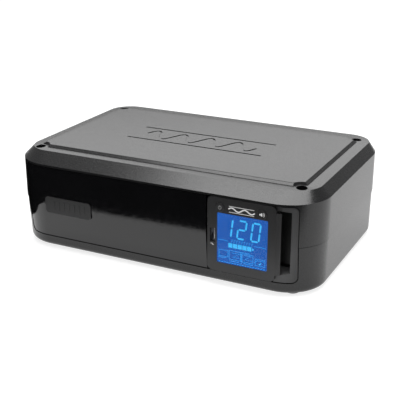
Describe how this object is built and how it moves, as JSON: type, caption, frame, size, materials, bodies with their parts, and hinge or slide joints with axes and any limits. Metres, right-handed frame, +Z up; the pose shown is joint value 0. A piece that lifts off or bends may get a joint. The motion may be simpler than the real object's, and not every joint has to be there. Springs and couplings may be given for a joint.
{
  "type": "uninterruptible power supply",
  "caption": "Low desktop uninterruptible power supply with chamfered lid, glossy fascia, pull-out square display module, rear outlets, battery and transformer inside.",
  "frame": {"origin": "centre of the footprint, on the surface that the rubber feet stand on", "axes": "+X to the right seen from the front, front faces -Y, +Z up"},
  "size_m": [0.33, 0.2216, 0.1032],
  "materials": {
    "shell_plastic": "fine satin texture",
    "gloss_fascia": "polished",
    "badge_plastic": "satin",
    "bay_plastic": "fine satin texture",
    "bezel_plastic": "satin",
    "button_plastic": "satin",
    "window_glass": "clear, flush",
    "lcd_glass": "lit blue display",
    "light_guide": "translucent white",
    "circuit_board": "solder-mask green",
    "component_black": "moulded",
    "connector_white": "moulded nylon",
    "ribbon_cable": "flat cable",
    "cable_grey": "PVC sleeve",
    "steel_screw": "zinc plated",
    "brass_screw": "plated",
    "foot_rubber": "matt",
    "port_metal": "nickel plated",
    "contact_brass": "bright",
    "breaker_button": "satin",
    "outlet_plastic": "moulded",
    "battery_case": "moulded ABS",
    "wire_red": "PVC insulation",
    "wire_black": "PVC insulation",
    "wire_yellow": "PVC insulation",
    "foam_pad": "open-cell foam",
    "core_steel": "varnished laminations",
    "coil_copper": "enamelled winding under tape",
    "bobbin_plastic": "moulded",
    "bracket_steel": "galvanised",
    "sink_aluminium": "extruded",
    "capacitor_sleeve": "shrink sleeve",
    "relay_case": "moulded",
    "choke_core": "coated ferrite",
    "fuse_glass": "clear tube in clips"
  },
  "bodies": {
    "chassis": {"alarm_buzzer": "component_black", "base_tray": "shell_plastic", "battery": "battery_case", "battery_lead_black": "wire_black", "battery_lead_red": "wire_red", "battery_pad": "foam_pad", "battery_terminals": "contact_brass", "board_screws": "steel_screw", "breaker_body": "component_black", "capacitors": "capacitor_sleeve", "control_bay": "bay_plastic", "cover_screws": "steel_screw", "display_cable": "cable_grey", "display_ribbon": "ribbon_cable", "front_badge": "badge_plastic", "front_fascia": "gloss_fascia", "ground_screw": "brass_screw", "heat_sinks": "sink_aluminium", "inlet_pins": "contact_brass", "line_fuse": "fuse_glass", "line_jacks": "component_black", "main_board": "circuit_board", "mains_inlet": "component_black", "outlet_1": "outlet_plastic", "outlet_2": "outlet_plastic", "outlet_3": "outlet_plastic", "outlet_4": "outlet_plastic", "outlet_5": "outlet_plastic", "outlet_6": "outlet_plastic", "outlet_7": "outlet_plastic", "outlet_8": "outlet_plastic", "outlet_board": "circuit_board", "outlet_contacts": "contact_brass", "power_transistors": "component_black", "rear_panel": "shell_plastic", "relays": "relay_case", "rubber_feet": "foot_rubber", "top_cover": "shell_plastic", "toroid_choke": "choke_core", "transformer_bobbin": "bobbin_plastic", "transformer_bracket": "bracket_steel", "transformer_coil": "coil_copper", "transformer_core": "core_steel", "transformer_leads": "wire_yellow", "transformer_screws": "steel_screw", "usb_data_port": "port_metal"},
    "display_module": {"module_bezel": "bezel_plastic", "module_back": "bezel_plastic", "module_screws": "steel_screw", "display_window": "window_glass", "lcd_panel": "lcd_glass", "backlight": "light_guide", "display_board": "circuit_board", "button_switches": "component_black", "usb_charging_port": "port_metal", "ribbon_socket": "connector_white"},
    "power_button": {"power_button": "button_plastic"},
    "mute_button": {"mute_button": "button_plastic"},
    "breaker_button": {"breaker_button": "breaker_button"},
    "battery_door": {"battery_door": "shell_plastic"}
  },
  "joints": [
    {"name": "display_pull", "type": "slide", "parent": "chassis", "child": "display_module", "axis": [0, -1, 0], "range_m": [0, 0.045], "deforming": ["display_ribbon"]},
    {"name": "power_press", "type": "slide", "parent": "display_module", "child": "power_button", "axis": [0, 1, 0], "range_m": [0, 0.0006], "stiffness_N_per_m": 1500, "springref_m": -0.001},
    {"name": "mute_press", "type": "slide", "parent": "display_module", "child": "mute_button", "axis": [0, 1, 0], "range_m": [0, 0.0006], "stiffness_N_per_m": 1500, "springref_m": -0.001},
    {"name": "breaker_pop", "type": "slide", "parent": "chassis", "child": "breaker_button", "axis": [0, 1, 0], "range_m": [0, 0.003]},
    {"name": "door_slide", "type": "slide", "parent": "chassis", "child": "battery_door", "axis": [-1, 0, 0], "range_m": [0, 0.15]}
  ]
}
